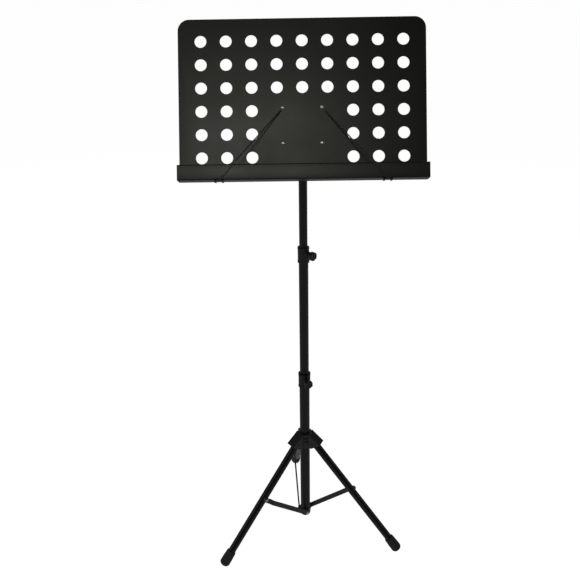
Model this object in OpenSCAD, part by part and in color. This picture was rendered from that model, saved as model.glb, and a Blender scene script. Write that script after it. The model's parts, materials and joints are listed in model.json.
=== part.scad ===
// Folding music stand: perforated sheet-metal desk on a telescoping three-step
// column, carried by a tripod whose hub slides up the column to fold the legs.

/* [Desk] */
// Width of the desk
desk_w = 480; // [400:1:520]
// Height of the back panel
desk_h = 315; // [290:1:340]
// Sheet thickness
sheet_t = 1.2; // [0.8:0.1:2]
// Radius of the two top corners
corner_r = 22; // [5:1:40]
// Depth of the ledge in front of the panel
ledge_d = 30; // [20:1:45]
// Height of the front lip
lip_h = 30; // [20:1:40]
// Diameter of the round holes
hole_d = 23; // [12:0.5:28]
// Distance from the panel's side edges to the outer columns of holes
hole_side = 44; // [30:1:60]
// Distance from the panel's top edge to the first row of holes
hole_top = 43; // [30:1:60]
// Distance from the panel's foot to the last row of holes
hole_foot = 47; // [40:1:70]
// Distance from the panel's side edges to the page arms' pivots
wire_side = 80; // [60:1:120]
// Lean of the desk back from upright
lean = 24; // [0:1:60]

/* [Column] */
// Outer diameter of the upper tube
upper_od = 18; // [14:0.5:22]
// Wall thickness of the tubes
wall = 1.2; // [1:0.1:2]
// Radial gap between one tube and the next
slide_gap = 0.3; // [0.2:0.05:0.5]
// Length of the upper tube
upper_len = 380; // [340:5:420]
// Length of the middle tube
middle_len = 400; // [360:5:440]
// Length of the upper tube that is inside the middle tube
upper_in = 133; // [83:1:298]
// Length of the middle tube that is inside the lower tube
middle_in = 82; // [52:1:300]
// Room between the folded hub and the lower collar
hub_room = 41.5; // [30:0.5:60]
// Height of the open end of the lower tube
lower_end = 36; // [30:1:40]
// Height of the two clamp collars
collar_h = 35; // [32:1:40]

/* [Tripod] */
// Length of a leg from its pin to the middle of its foot
leg_len = 338; // [325:1:360]
// Outer diameter of a leg
leg_od = 18; // [14:0.5:19]
// Angle of an open leg from upright
leg_open = 41; // [36:0.5:43]
// Angle of a folded leg from upright
leg_folded = 2; // [1:0.5:5]
// Gap between the hub's sleeve and a folded leg
leg_gap = 0.6; // [0.5:0.1:5]
// Distance from a leg's pin to its brace rivet
brace_at = 154; // [135:1:160]
// Turn of the tripod about the column
tripod_turn = 36; // [0:1:119]
// Width of the flat braces
brace_w = 11.5; // [7:0.5:13]
// Thickness of the flat braces
brace_t = 3.2; // [1.5:0.1:4]
// Thickness of the rubber round a leg at the widest part of its foot
foot_wall = 3.3; // [2.6:0.1:5]

/* [Knobs] */
// Diameter of the clamp knobs
knob_d = 20; // [16:1:24]
// Diameter of the tilt knob
tilt_knob_d = 36; // [30:1:40]
// Azimuth of the upper clamp knob
upper_knob_az = 312; // [290:1:350]
// Azimuth of the lower clamp knob
lower_knob_az = 288; // [270:1:350]

/* [Hidden] */
$fn = 64;
eps = 0.01;
air = 0.3;
run_fit = 0.08;

// tubes, each one larger by the gap and the wall
upper_r = upper_od / 2;
middle_ir = upper_r + slide_gap;
middle_r = middle_ir + wall;
lower_ir = middle_r + slide_gap;
lower_r = lower_ir + wall;
guide_h = 5;
guide_in = 14;

// tripod
left_az = 180 + tripod_turn;
right_az = 300 + tripod_turn;
rear_az = 60 + tripod_turn;
leg_r = leg_od / 2;
liner_t = 1.3;
hub_bore_r = lower_r + 0.2 + liner_t;
hub_r = hub_bore_r + 1.9;
pin_r = hub_r + leg_gap + leg_r;
foot_r = leg_r + foot_wall;
nose_r = 9;
nose_end = 5.9;
foot_flat = 0.8;
// height of the foot's middle when the flat of that depth stands on the floor
foot_z = (foot_r - nose_r) * sin(leg_open) + (nose_end - nose_r) * cos(leg_open) + nose_r - foot_flat;
pin_z = foot_z + leg_len * cos(leg_open);
foot_reach = pin_r + leg_len * sin(leg_open);
leg_pin_d = 6;
// the column stands off the origin so that the origin is under the middle of the whole stand
tube_y = -foot_reach * (sin(rear_az) + sin(left_az)) / 2;

// braces: pivot on the bracket, rivet on the leg
strut_r = 6;
strut_z = 45;
rivet_r = pin_r + brace_at * sin(leg_open);
rivet_z = pin_z - brace_at * cos(leg_open);
brace_len = norm([rivet_r - strut_r, rivet_z - strut_z]);
brace_open = atan2(rivet_r - strut_r, rivet_z - strut_z);
brace_near = leg_r + 1;
brace_far = lower_r + 2;
joggle_at = 13;
joggle_len = 9;
rivet_shank_r = 2.4;
rivet_head_r = 4.2;
rivet_head_h = 1.8;
bracket_wall = 1.4;
bracket_low = lower_end - 1;
bracket_high = strut_z + 9;

// hub
hub_top = pin_z + 26;
hub_low = pin_z - 15;
hub_rim = 2.2;
cheek_gap = leg_r + 0.5;
cheek_t = 3;
roof_t = 2.3;
arm_tip = [pin_r + leg_r + 10.3, pin_z + 3.1];
arm_top = [hub_bore_r + 0.5, hub_top + 2];
arm_reach = 6.5;

// how far the hub rises when the legs fold, from the lengths of leg and brace
folded_out = pin_r + brace_at * sin(leg_folded) - strut_r;
folded_up = sqrt(brace_len * brace_len - folded_out * folded_out);
hub_rise = strut_z + folded_up + brace_at * cos(leg_folded) - pin_z;

// heights of the column
collar_grip = 12;
lower_top = hub_top + hub_rise + hub_room + collar_grip;
middle_top = lower_top + middle_len - middle_in;
upper_top = middle_top + upper_len - upper_in;
head_rise = 26;
tilt_z = upper_top + head_rise;

// clamps
stud_r = 3;
insert_r = 4.6;
insert_len = 7;
pad_r = 3.2;
pad_t = 1.5;
boss_r = 7;
boss_out = 6;
collar_wall = 2;
knob_t = 14;
knob_bore = 0.75;
rim_step = 0.5;
socket_r = upper_r + 4.5;
lower_collar_z = lower_top - collar_grip;
upper_collar_z = middle_top - collar_grip;
lower_clamp_z = lower_collar_z + collar_h * 0.6;
upper_clamp_z = upper_collar_z + collar_h * 0.6;
lower_collar_r = lower_r + collar_wall;
upper_collar_r = middle_r + collar_wall;
socket_low = tilt_z - 75;
socket_clamp_z = tilt_z - 52;

// desk, in its own frame: origin on the tilt axis, Y to the rear, Z up the panel
stand_off = 50;
panel_top = 206;
panel_z = panel_top - desk_h;
hole_cols = 9;
hole_rows = 6;
hole_pitch_x = (desk_w - 2 * hole_side) / (hole_cols - 1);
hole_pitch_z = (desk_h - hole_top - hole_foot) / (hole_rows - 1);
front_y = -stand_off - sheet_t;
lip_y = front_y - ledge_d;
lip_front = lip_y - sheet_t;
bend_r = 1.5;
hem_gap_r = 0.9;
hem_len = 7;
screw_x = 38;
screw_z = 34.5;
screw_r = 2.5;
screw_head_r = 4;
screw_head_h = 2.4;
plate_t = 2;
plate_w = 100;
plate_h = 92;
ear_in = 14;
ear_t = 2.5;
ear_end_r = 13;
ear_root = 28;
bolt_r = 4;
tilt_knob_t = 18;
lug_half = 12.5;
washer_t = 1.2;
wire_r = 1.1;
wire_x = desk_w / 2 - wire_side;
wire_tip_x = 43;
wire_tip_z = 27;
wire_bar = 9;
clip_gap = 7;
clip_w = 3;
wire_y = lip_front - wire_r - 0.4;
wire_z = panel_z - wire_r - 0.9;

// ---- frames ----

module on_column(z = 0, az = 0) {
    translate([0, tube_y, z]) rotate([0, 0, az]) children();
}

// +Z points out of the clamp, away from the column
module at_clamp(z, az) {
    on_column(z, az) rotate([0, 90, 0]) children();
}

module in_desk() {
    on_column(tilt_z) rotate([-lean, 0, 0]) children();
}

// origin on the leg pin, +Z down the leg, +Y along the pin
module in_leg(az) {
    on_column(0, az) translate([pin_r, 0, pin_z]) rotate([0, 180 - leg_open, 0]) children();
}

// origin on the bracket rivet, +X up the brace, +Y along the rivet
module in_brace(az) {
    on_column(0, az) translate([strut_r, 0, strut_z]) rotate([0, brace_open - 90, 0]) children();
}

// ---- shared shapes ----

module ring(r_out, r_in, h) {
    difference() {
        cylinder(r = r_out, h = h);
        translate([0, 0, -1]) cylinder(r = r_in, h = h + 2);
    }
}

module tube(r_out, z_low, z_high) {
    translate([0, 0, z_low]) ring(r_out, r_out - wall, z_high - z_low);
}

// a cylinder along +Y, centred on y
module cross_pin(r, y0, y1) {
    translate([0, y1, 0]) rotate([90, 0, 0]) cylinder(r = r, h = y1 - y0);
}

module rod(a, b, r) {
    d = b - a;
    translate(a)
        rotate([0, acos(d[2] / norm(d)), atan2(d[1], d[0])])
            cylinder(r = r, h = norm(d));
}

// low dome of radius r and height h, flat side on z = 0
module dome(r, h) {
    ball = (r * r + h * h) / (2 * h);
    intersection() {
        translate([0, 0, h - ball]) sphere(r = ball);
        cylinder(r = r, h = h);
    }
}

// knob with a narrow neck and a scalloped grip, standing on z = 0
module scalloped_knob(d, t, bore_r, scallops = 6) {
    difference() {
        rotate_extrude() polygon([
            [0, 0], [0.3 * d, 0], [0.3 * d, 0.3 * t], [0.45 * d, 0.35 * t],
            [0.5 * d, 0.42 * t], [0.5 * d, 0.88 * t], [0.44 * d, t], [0, t]
        ]);
        for (i = [0 : scallops - 1]) {
            rotate([0, 0, i * 360 / scallops])
                translate([0.58 * d, 0, 0.31 * t])
                    cylinder(r = 0.13 * d, h = t);
        }
        translate([0, 0, -1]) cylinder(r = bore_r, h = t * knob_bore + 1);
    }
}

// flat annular sector between two right-angle edges, for a sheet bend
module quarter_bend(r_in, t) {
    intersection() {
        difference() {
            circle(r = r_in + t);
            circle(r = r_in);
        }
        square(r_in + t);
    }
}

// ---- desk ----

module panel_outline() {
    translate([-desk_w / 2, panel_z + bend_r + sheet_t])
        square([desk_w, desk_h - corner_r - bend_r - sheet_t]);
    translate([corner_r - desk_w / 2, panel_top - corner_r - eps])
        square([desk_w - 2 * corner_r, corner_r + eps]);
    for (side = [-1, 1]) {
        translate([side * (desk_w / 2 - corner_r), panel_top - corner_r]) circle(r = corner_r);
    }
}

module ledge_profile() {
    bend = bend_r + sheet_t;
    lip_top = panel_z + lip_h;
    // bend between panel and ledge
    translate([front_y + sheet_t - bend, panel_z + bend]) rotate(-90) quarter_bend(bend_r, sheet_t);
    translate([lip_front + bend, panel_z]) square([front_y + sheet_t - lip_front - 2 * bend, sheet_t]);
    // bend between ledge and lip
    translate([lip_front + bend, panel_z + bend]) rotate(180) quarter_bend(bend_r, sheet_t);
    translate([lip_front, panel_z + bend]) square([sheet_t, lip_h - bend - hem_gap_r - sheet_t]);
    // hem turned back inside the lip
    translate([lip_y + hem_gap_r, lip_top - hem_gap_r - sheet_t]) {
        rotate(90) quarter_bend(hem_gap_r, sheet_t);
        quarter_bend(hem_gap_r, sheet_t);
        translate([hem_gap_r, -hem_len]) square([sheet_t, hem_len]);
    }
}

module desk_panel() {
    first_x = hole_side - desk_w / 2;
    first_z = panel_top - hole_top;
    color([0.1, 0.1, 0.1]) in_desk() difference() {
        union() {
            translate([0, -stand_off, 0]) rotate([90, 0, 0]) linear_extrude(sheet_t) panel_outline();
            translate([-desk_w / 2, 0, 0]) rotate([90, 0, 90]) linear_extrude(desk_w) ledge_profile();
        }
        for (col = [0 : hole_cols - 1], row = [0 : hole_rows - 1]) {
            if (row < 3 || col < 3 || col > 5) {
                translate([first_x + col * hole_pitch_x, 0, first_z - row * hole_pitch_z])
                    cross_pin(hole_d / 2, front_y - 1, -stand_off + 1);
            }
        }
        for (x = [-screw_x, screw_x], z = [-screw_z, screw_z]) {
            translate([x, 0, z]) cross_pin(screw_r + 0.1, front_y - 1, -stand_off + 1);
        }
    }
}

// bent wire: cross bar under the lip, straight run in front of it, then in towards the panel
module wire_arm() {
    foot = [-wire_x, wire_y, wire_z];
    tip = [-wire_tip_x, front_y - 3.5, wire_tip_z];
    over = (lip_h + 10) / (wire_tip_z - wire_z);
    knee = [foot[0] + (tip[0] - foot[0]) * over, wire_y, foot[2] + lip_h + 10];
    rod(foot - [wire_bar, 0, 0], foot + [wire_bar, 0, 0], wire_r);
    rod(foot, knee, wire_r);
    translate(knee) sphere(r = wire_r + 0.04);
    rod(knee, tip, wire_r);
    translate(tip) sphere(r = wire_r * 1.5);
}

module page_arm_left() {
    color([0.16, 0.16, 0.16]) in_desk() wire_arm();
}

module page_arm_right() {
    color([0.16, 0.16, 0.16]) in_desk() mirror([1, 0, 0]) wire_arm();
}

module page_arm_clips() {
    color([0.08, 0.08, 0.08]) in_desk() for (side = [-1, 1], end = [-1, 1]) {
        x = side * wire_x + end * clip_gap;
        translate([x - clip_w / 2, 0, 0]) difference() {
            union() {
                translate([0, wire_y, wire_z - 2.4]) cube([clip_w, 12, panel_z - wire_z + 2.4]);
                translate([0, wire_y, wire_z]) rotate([0, 90, 0]) cylinder(r = 2.4, h = clip_w);
            }
            translate([-1, wire_y, wire_z]) rotate([0, 90, 0])
                cylinder(r = wire_r + run_fit, h = clip_w + 2);
            // the clip stays clear of the lip's front face
            translate([-1, lip_front - 3, panel_z - 0.5]) cube([clip_w + 2, 3, 3]);
        }
    }
}

module desk_screws() {
    color([0.8, 0.8, 0.8]) in_desk() for (x = [-screw_x, screw_x], z = [-screw_z, screw_z]) {
        translate([x, 0, z]) {
            cross_pin(screw_r, front_y, 7 - stand_off);
            translate([0, front_y, 0]) rotate([90, 0, 0]) difference() {
                dome(screw_head_r, screw_head_h);
                translate([-3, -0.45, screw_head_h - 0.9]) cube([6, 0.9, 2]);
                translate([-0.45, -3, screw_head_h - 0.9]) cube([0.9, 6, 2]);
            }
        }
    }
}

module desk_nuts() {
    color([0.75, 0.75, 0.75]) in_desk() for (x = [-screw_x, screw_x], z = [-screw_z, screw_z]) {
        translate([x, plate_t - stand_off + 4, z]) rotate([90, 0, 0]) difference() {
            cylinder(r = 4.6, h = 4, $fn = 6);
            translate([0, 0, -1]) cylinder(r = screw_r, h = 6);
        }
    }
}

// U-shaped bracket: plate against the panel, two ears back to the tilt bolt
module desk_bracket() {
    color([0.12, 0.12, 0.12]) in_desk() difference() {
        union() {
            translate([-plate_w / 2, -stand_off, -plate_h / 2]) cube([plate_w, plate_t, plate_h]);
            for (side = [-1, 1]) {
                translate([side > 0 ? ear_in : -ear_in - ear_t, 0, 0]) rotate([90, 0, 90])
                    linear_extrude(ear_t) ear_outline();
            }
        }
        for (x = [-screw_x, screw_x], z = [-screw_z, screw_z]) {
            translate([x, 0, z]) cross_pin(screw_r + 0.2, -stand_off - 1, plate_t - stand_off + 1);
        }
        translate([-50, 0, 0]) rotate([0, 90, 0]) cylinder(r = bolt_r, h = 100);
    }
}

module ear_outline() {
    circle(r = ear_end_r);
    polygon([[0, ear_end_r], [plate_t / 2 - stand_off, ear_root],
             [plate_t / 2 - stand_off, -ear_root], [0, -ear_end_r]]);
}

// ---- tilt head ----

module tilt_head() {
    color([0.14, 0.14, 0.14]) on_column(0) difference() {
        union() {
            translate([-lug_half, 0, tilt_z]) rotate([0, 90, 0]) cylinder(r = 13, h = 2 * lug_half);
            translate([-lug_half, -10, tilt_z - 20]) cube([2 * lug_half, 20, 16]);
            translate([0, 0, socket_low]) cylinder(r = socket_r, h = tilt_z - 15 - socket_low);
            translate([0, 0, socket_low]) cylinder(r = socket_r + 1.2, h = 4);
            translate([0, 0, socket_clamp_z]) rotate([0, 90, 90])
                cylinder(r = boss_r, h = socket_r + boss_out);
        }
        translate([-50, 0, tilt_z]) rotate([0, 90, 0]) cylinder(r = bolt_r + run_fit, h = 100);
        translate([0, 0, socket_low - 1])
            cylinder(r = upper_r + run_fit, h = upper_top + air - socket_low + 1);
        translate([0, 0, socket_clamp_z]) rotate([0, 90, 90]) {
            cylinder(r = pad_r + 0.2, h = 50);
            translate([0, 0, socket_r + boss_out - insert_len]) cylinder(r = insert_r, h = insert_len + 1);
        }
    }
}

module tilt_bolt() {
    color([0.7, 0.7, 0.7]) in_desk() {
        translate([-ear_in - ear_t, 0, 0]) rotate([0, 90, 0])
            cylinder(r = bolt_r, h = 2 * (ear_in + ear_t) + air + knob_bore * tilt_knob_t - 0.5);
        translate([-ear_in - ear_t, 0, 0]) rotate([0, -90, 0]) dome(9, 4);
    }
}

module tilt_washers() {
    color([0.85, 0.82, 0.72]) on_column(tilt_z) for (x = [-lug_half - washer_t, lug_half]) {
        translate([x, 0, 0]) rotate([0, 90, 0]) ring(11, bolt_r + 0.3, washer_t);
    }
}

module on_tilt_knob() {
    in_desk() translate([ear_in + ear_t + air, 0, 0]) rotate([0, 90, 0]) children();
}

module tilt_knob() {
    color([0.07, 0.07, 0.07]) on_tilt_knob() difference() {
        scalloped_knob(tilt_knob_d, tilt_knob_t, bolt_r + 0.4);
        translate([0, 0, -1]) cylinder(r = 7.5, h = 7, $fn = 6);
    }
}

module tilt_knob_nut() {
    color([0.75, 0.75, 0.75]) on_tilt_knob() difference() {
        translate([0, 0, 0.2]) cylinder(r = 7.5, h = 5.6, $fn = 6);
        cylinder(r = bolt_r + run_fit, h = 8);
    }
}

// ---- clamps: insert, pad, stud and knob on one axis ----

module clamp_insert(boss_end) {
    color([0.8, 0.68, 0.35]) translate([0, 0, boss_end - insert_len])
        ring(insert_r, stud_r + run_fit, insert_len);
}

module clamp_pad(inner_r) {
    color([0.85, 0.82, 0.72]) translate([0, 0, inner_r + air]) cylinder(r = pad_r, h = pad_t);
}

module clamp_stud(inner_r, boss_end) {
    tip = inner_r + air + pad_t + air;
    color([0.75, 0.75, 0.75]) translate([0, 0, tip])
        cylinder(r = stud_r, h = boss_end + 0.5 + knob_t * knob_bore - tip);
}

module clamp_knob(boss_end) {
    color([0.07, 0.07, 0.07]) translate([0, 0, boss_end + 0.5]) scalloped_knob(knob_d, knob_t, stud_r);
}

// sleeve that grips the outer tube below and guides the inner tube above
module collar(outer_r, inner_r, out_r, z_low, clamp_z, az) {
    color([0.1, 0.1, 0.1]) difference() {
        union() {
            on_column(z_low) cylinder(r = out_r, h = collar_h);
            on_column(z_low) cylinder(r = out_r + rim_step, h = 4);
            on_column(z_low + collar_h - 4) cylinder(r = out_r + rim_step, h = 4);
            at_clamp(clamp_z, az) cylinder(r = boss_r, h = out_r + boss_out);
        }
        on_column(z_low - 1) cylinder(r = outer_r, h = collar_grip + 1);
        on_column(z_low) cylinder(r = inner_r + 0.15, h = collar_h + 1);
        at_clamp(clamp_z, az) cylinder(r = pad_r + 0.2, h = 50);
        at_clamp(clamp_z, az) translate([0, 0, out_r + boss_out - insert_len])
            cylinder(r = insert_r, h = insert_len + 1);
    }
}

module upper_collar() {
    collar(middle_r, upper_r, upper_collar_r, upper_collar_z, upper_clamp_z, upper_knob_az);
}

module upper_insert() at_clamp(upper_clamp_z, upper_knob_az) clamp_insert(upper_collar_r + boss_out);
module upper_pad() at_clamp(upper_clamp_z, upper_knob_az) clamp_pad(upper_r);
module upper_stud() at_clamp(upper_clamp_z, upper_knob_az) clamp_stud(upper_r, upper_collar_r + boss_out);
module upper_knob() at_clamp(upper_clamp_z, upper_knob_az) clamp_knob(upper_collar_r + boss_out);

module lower_collar() {
    collar(lower_r, middle_r, lower_collar_r, lower_collar_z, lower_clamp_z, lower_knob_az);
}

module lower_insert() at_clamp(lower_clamp_z, lower_knob_az) clamp_insert(lower_collar_r + boss_out);
module lower_pad() at_clamp(lower_clamp_z, lower_knob_az) clamp_pad(middle_r);
module lower_stud() at_clamp(lower_clamp_z, lower_knob_az) clamp_stud(middle_r, lower_collar_r + boss_out);
module lower_knob() at_clamp(lower_clamp_z, lower_knob_az) clamp_knob(lower_collar_r + boss_out);

module socket_insert() at_clamp(socket_clamp_z, 90) clamp_insert(socket_r + boss_out);
module socket_pad() at_clamp(socket_clamp_z, 90) clamp_pad(upper_r);
module socket_stud() at_clamp(socket_clamp_z, 90) clamp_stud(upper_r, socket_r + boss_out);
module socket_knob() at_clamp(socket_clamp_z, 90) clamp_knob(socket_r + boss_out);

// ---- column ----

module upper_tube() {
    color([0.12, 0.12, 0.13]) on_column()
        tube(upper_r, upper_top - upper_len, upper_top);
}

module middle_tube() {
    color([0.12, 0.12, 0.13]) on_column()
        tube(middle_r, middle_top - middle_len, middle_top);
}

module lower_tube() {
    color([0.12, 0.12, 0.13]) on_column()
        tube(lower_r, lower_end, lower_top);
}

// plug with a flange that centres an inner tube in the next one
module guide(tube_r, bore_r, z) {
    color([0.2, 0.2, 0.2]) on_column(z) difference() {
        union() {
            translate([0, 0, -guide_h]) cylinder(r = bore_r - run_fit, h = guide_h);
            cylinder(r = tube_r - wall, h = guide_in);
        }
        translate([0, 0, -guide_h - 1]) cylinder(r = tube_r - wall - 2, h = guide_h + guide_in + 2);
    }
}

module upper_guide() guide(upper_r, middle_ir, upper_top - upper_len);
module middle_guide() guide(middle_r, lower_ir, middle_top - middle_len);

module end_plug() {
    color([0.08, 0.08, 0.08]) on_column(lower_end - 3) {
        cylinder(r = lower_r, h = 3);
        cylinder(r = lower_ir, h = 12);
    }
}

module bottom_bracket() {
    color([0.13, 0.13, 0.13]) difference() {
        union() {
            on_column(bracket_low + 2)
                cylinder(r = lower_r + bracket_wall, h = bracket_high - bracket_low - 2);
            for (az = [left_az, right_az, rear_az]) {
                on_column(strut_z, az) translate([strut_r, 0, 0])
                    cross_pin(6, 6, brace_far - air);
            }
        }
        on_column(0) cylinder(r = lower_r, h = 100);
        for (az = [left_az, right_az, rear_az]) {
            on_column(strut_z, az) translate([strut_r, 0, 0])
                cross_pin(rivet_shank_r, 0, brace_far + 1);
        }
    }
}

module bracket_rivets() {
    color([0.75, 0.75, 0.75]) difference() {
        for (az = [left_az, right_az, rear_az]) {
            on_column(strut_z, az) translate([strut_r, 0, 0]) {
                cross_pin(rivet_shank_r, 8, brace_far + brace_t + air);
                translate([0, brace_far + brace_t + air, 0]) rotate([-90, 0, 0])
                    dome(rivet_head_r, rivet_head_h);
            }
        }
        on_column(0) cylinder(r = lower_r, h = 100);
    }
}

// ---- hub ----

// side wall of one arm, as an outline across radius and height
module cheek_outline() {
    heel = [pin_r + arm_reach * sin(leg_open) - (leg_r + 2.5) * cos(leg_open),
            pin_z - arm_reach * cos(leg_open) - (leg_r + 2.5) * sin(leg_open)];
    polygon([arm_top, arm_tip, heel, [arm_top[0], heel[1] + 5]]);
}

module roof_outline() {
    slope = (arm_tip - arm_top) / norm(arm_tip - arm_top);
    inner_tip = arm_tip + roof_t * [slope[1], -slope[0]];
    polygon([arm_top, arm_tip, inner_tip, arm_top - [0, roof_t / slope[0]]]);
}

module hub_arm() {
    half = cheek_gap + cheek_t;
    for (y = [half, -cheek_gap]) {
        translate([0, y, 0]) rotate([90, 0, 0]) linear_extrude(cheek_t) cheek_outline();
    }
    translate([0, half, 0]) rotate([90, 0, 0]) linear_extrude(2 * half) roof_outline();
}

module hub() {
    color([0.15, 0.15, 0.15]) difference() {
        union() {
            on_column(hub_low) cylinder(r = hub_r, h = hub_top - hub_low);
            on_column(hub_top - 5) cylinder(r = hub_r + hub_rim, h = 5);
            on_column(pin_z + 11) cylinder(r = hub_r + hub_rim, h = 3.5);
            on_column(pin_z + 2) cylinder(r = hub_r + hub_rim, h = 3.5);
            for (az = [left_az, right_az, rear_az]) {
                on_column(0, az) hub_arm();
            }
        }
        on_column(0) cylinder(r = hub_bore_r, h = 500);
        for (az = [left_az, right_az, rear_az]) {
            on_column(pin_z, az) translate([pin_r, 0, 0]) {
                cross_pin(leg_pin_d / 2, -30, 30);
                cross_pin(leg_r + air, -cheek_gap, cheek_gap);
            }
        }
    }
}

module hub_liner() {
    color([0.2, 0.2, 0.2]) on_column(hub_low + 2) ring(hub_bore_r, lower_r + 0.2, hub_top - hub_low);
}

module leg_pins() {
    head = cheek_gap + cheek_t;
    color([0.75, 0.75, 0.75]) for (az = [left_az, right_az, rear_az]) {
        on_column(pin_z, az) translate([pin_r, 0, 0]) {
            cross_pin(leg_pin_d / 2, -head, head);
            translate([0, head, 0]) rotate([-90, 0, 0]) dome(4.5, 1.6);
            translate([0, -head, 0]) rotate([90, 0, 0]) dome(4.5, 1.6);
        }
    }
}

// ---- legs ----

// everything of a leg's top end stays within its own radius round the pin
module leg_reach() {
    cross_pin(leg_r, -leg_r - 1, leg_r + 1);
    translate([-leg_r - 1, -leg_r - 1, 0]) cube([2 * leg_r + 2, 2 * leg_r + 2, leg_len]);
}

module leg(az) {
    color([0.11, 0.11, 0.12]) in_leg(az) difference() {
        intersection() {
            tube(leg_r, -leg_r, leg_len - 3);
            leg_reach();
        }
        cross_pin(leg_pin_d / 2 + run_fit, -leg_r - 2, leg_r + 2);
    }
}

module leg_plug(az) {
    color([0.08, 0.08, 0.08]) in_leg(az) difference() {
        intersection() {
            translate([0, 0, -leg_r]) cylinder(r = leg_r - wall, h = leg_r + 16);
            leg_reach();
        }
        cross_pin(leg_pin_d / 2 + run_fit, -leg_r - 2, leg_r + 2);
    }
}

// collar on the leg that the brace lies against
module spacer(az) {
    color([0.6, 0.6, 0.6]) in_leg(az) translate([0, 0, brace_at]) difference() {
        cross_pin(5, leg_r - 1.6, brace_near - air);
        translate([0, 0, -20]) cylinder(r = leg_r, h = 40);
    }
}

module foot(az) {
    color([0.06, 0.06, 0.06]) difference() {
        in_leg(az) translate([0, 0, leg_len]) difference() {
            rotate_extrude() foot_outline();
            translate([0, 0, -40]) cylinder(r = leg_r, h = 37);
        }
        translate([-500, -500, -50]) cube([1000, 1000, 50]);
    }
}

// half section of the boot: open rim, swelling barrel, round nose
module foot_outline() {
    rim = leg_r + 0.6 * foot_wall;
    difference() {
        union() {
            polygon([[0, -33], [rim, -33], [rim + 0.4, -32], [foot_r - 0.3, -19], [foot_r, -15],
                     [foot_r, nose_end - nose_r], [0, nose_end - nose_r]]);
            translate([foot_r - nose_r, nose_end - nose_r]) circle(r = nose_r);
            translate([0, -1]) square([foot_r - nose_r, nose_end + 1]);
        }
        translate([-50, -50]) square([50, 100]);
    }
}

// ---- braces ----

module brace(az) {
    half = brace_w / 2;
    color([0.17, 0.17, 0.17]) in_brace(az) difference() {
        intersection() {
            translate([0, 30, 0]) rotate([90, 0, 0]) linear_extrude(30) {
                circle(r = half);
                translate([0, -half]) square([brace_len, brace_w]);
                translate([brace_len, 0]) circle(r = half);
            }
            translate([0, 0, -half - 1]) linear_extrude(brace_w + 2) joggled_strip();
        }
        cross_pin(rivet_shank_r + run_fit, 0, 40);
        translate([brace_len, 0, 0]) cross_pin(rivet_shank_r, 0, 40);
    }
}

module joggled_strip() {
    near_end = brace_len - joggle_at;
    far_end = near_end - joggle_len;
    polygon([
        [-10, brace_far], [far_end, brace_far], [near_end, brace_near], [brace_len + 10, brace_near],
        [brace_len + 10, brace_near + brace_t], [near_end + 1, brace_near + brace_t],
        [far_end + 1, brace_far + brace_t], [-10, brace_far + brace_t]
    ]);
}

module brace_rivet(az) {
    color([0.75, 0.75, 0.75]) in_brace(az) translate([brace_len, 0, 0]) {
        cross_pin(rivet_shank_r, brace_near, brace_near + brace_t);
        translate([0, brace_near + brace_t, 0]) rotate([-90, 0, 0]) dome(rivet_head_r, rivet_head_h);
    }
}

desk_panel();
page_arm_left();
page_arm_right();
page_arm_clips();
desk_bracket();
desk_screws();
desk_nuts();
tilt_head();
tilt_bolt();
tilt_washers();
tilt_knob();
tilt_knob_nut();
socket_insert();
socket_pad();
socket_knob();
socket_stud();
upper_tube();
upper_guide();
middle_tube();
middle_guide();
upper_collar();
upper_insert();
upper_pad();
upper_knob();
upper_stud();
lower_collar();
lower_insert();
lower_pad();
lower_knob();
lower_stud();
lower_tube();
end_plug();
bottom_bracket();
bracket_rivets();
hub();
hub_liner();
leg_pins();
leg(left_az);  // leg_left
leg(right_az);  // leg_right
leg(rear_az);  // leg_rear
leg_plug(left_az);  // leg_plug_left
leg_plug(right_az);  // leg_plug_right
leg_plug(rear_az);  // leg_plug_rear
spacer(left_az);  // spacer_left
spacer(right_az);  // spacer_right
spacer(rear_az);  // spacer_rear
foot(left_az);  // foot_left
foot(right_az);  // foot_right
foot(rear_az);  // foot_rear
brace(left_az);  // brace_left
brace(right_az);  // brace_right
brace(rear_az);  // brace_rear
brace_rivet(left_az);  // brace_rivet_left
brace_rivet(right_az);  // brace_rivet_right
brace_rivet(rear_az);  // brace_rivet_rear
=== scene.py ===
import json
import math

import bmesh
import bpy
from mathutils import Matrix, Vector


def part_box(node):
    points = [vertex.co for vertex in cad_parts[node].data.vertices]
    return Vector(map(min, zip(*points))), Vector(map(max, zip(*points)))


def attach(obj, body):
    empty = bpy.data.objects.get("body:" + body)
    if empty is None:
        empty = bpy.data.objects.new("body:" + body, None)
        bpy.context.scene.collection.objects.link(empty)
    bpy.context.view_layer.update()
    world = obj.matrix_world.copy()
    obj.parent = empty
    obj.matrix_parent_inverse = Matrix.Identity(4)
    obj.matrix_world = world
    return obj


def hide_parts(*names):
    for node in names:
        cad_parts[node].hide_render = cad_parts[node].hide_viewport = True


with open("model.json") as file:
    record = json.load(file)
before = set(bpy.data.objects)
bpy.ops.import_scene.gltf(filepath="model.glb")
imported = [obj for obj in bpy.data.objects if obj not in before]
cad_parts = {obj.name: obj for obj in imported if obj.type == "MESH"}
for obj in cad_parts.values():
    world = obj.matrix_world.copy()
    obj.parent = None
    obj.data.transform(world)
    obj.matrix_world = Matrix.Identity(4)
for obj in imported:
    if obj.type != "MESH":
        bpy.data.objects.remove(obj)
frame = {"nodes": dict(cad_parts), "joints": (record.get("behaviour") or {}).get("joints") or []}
bpy.context.view_layer.update()
nodes = frame["nodes"]
joint = {j["name"]: j for j in frame["joints"]}

# ---- Room ----
# A white studio floor that runs out past the horizon, so that nothing but white stands behind
# the music stand, and the camera in front of it and a little above the desk.

CAMERA_AT = (-0.0119, -1.4352, 1.3117)
LOOK_DOWN = math.radians(24.77)
LOOK_SIDE = math.radians(-0.771)
CAMERA_TILT = math.radians(0.982)
LENS = 42.54
SENSOR = 36.0
FLOOR_SIZE = 300.0
FLOOR_DROP = 0.0002

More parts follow.
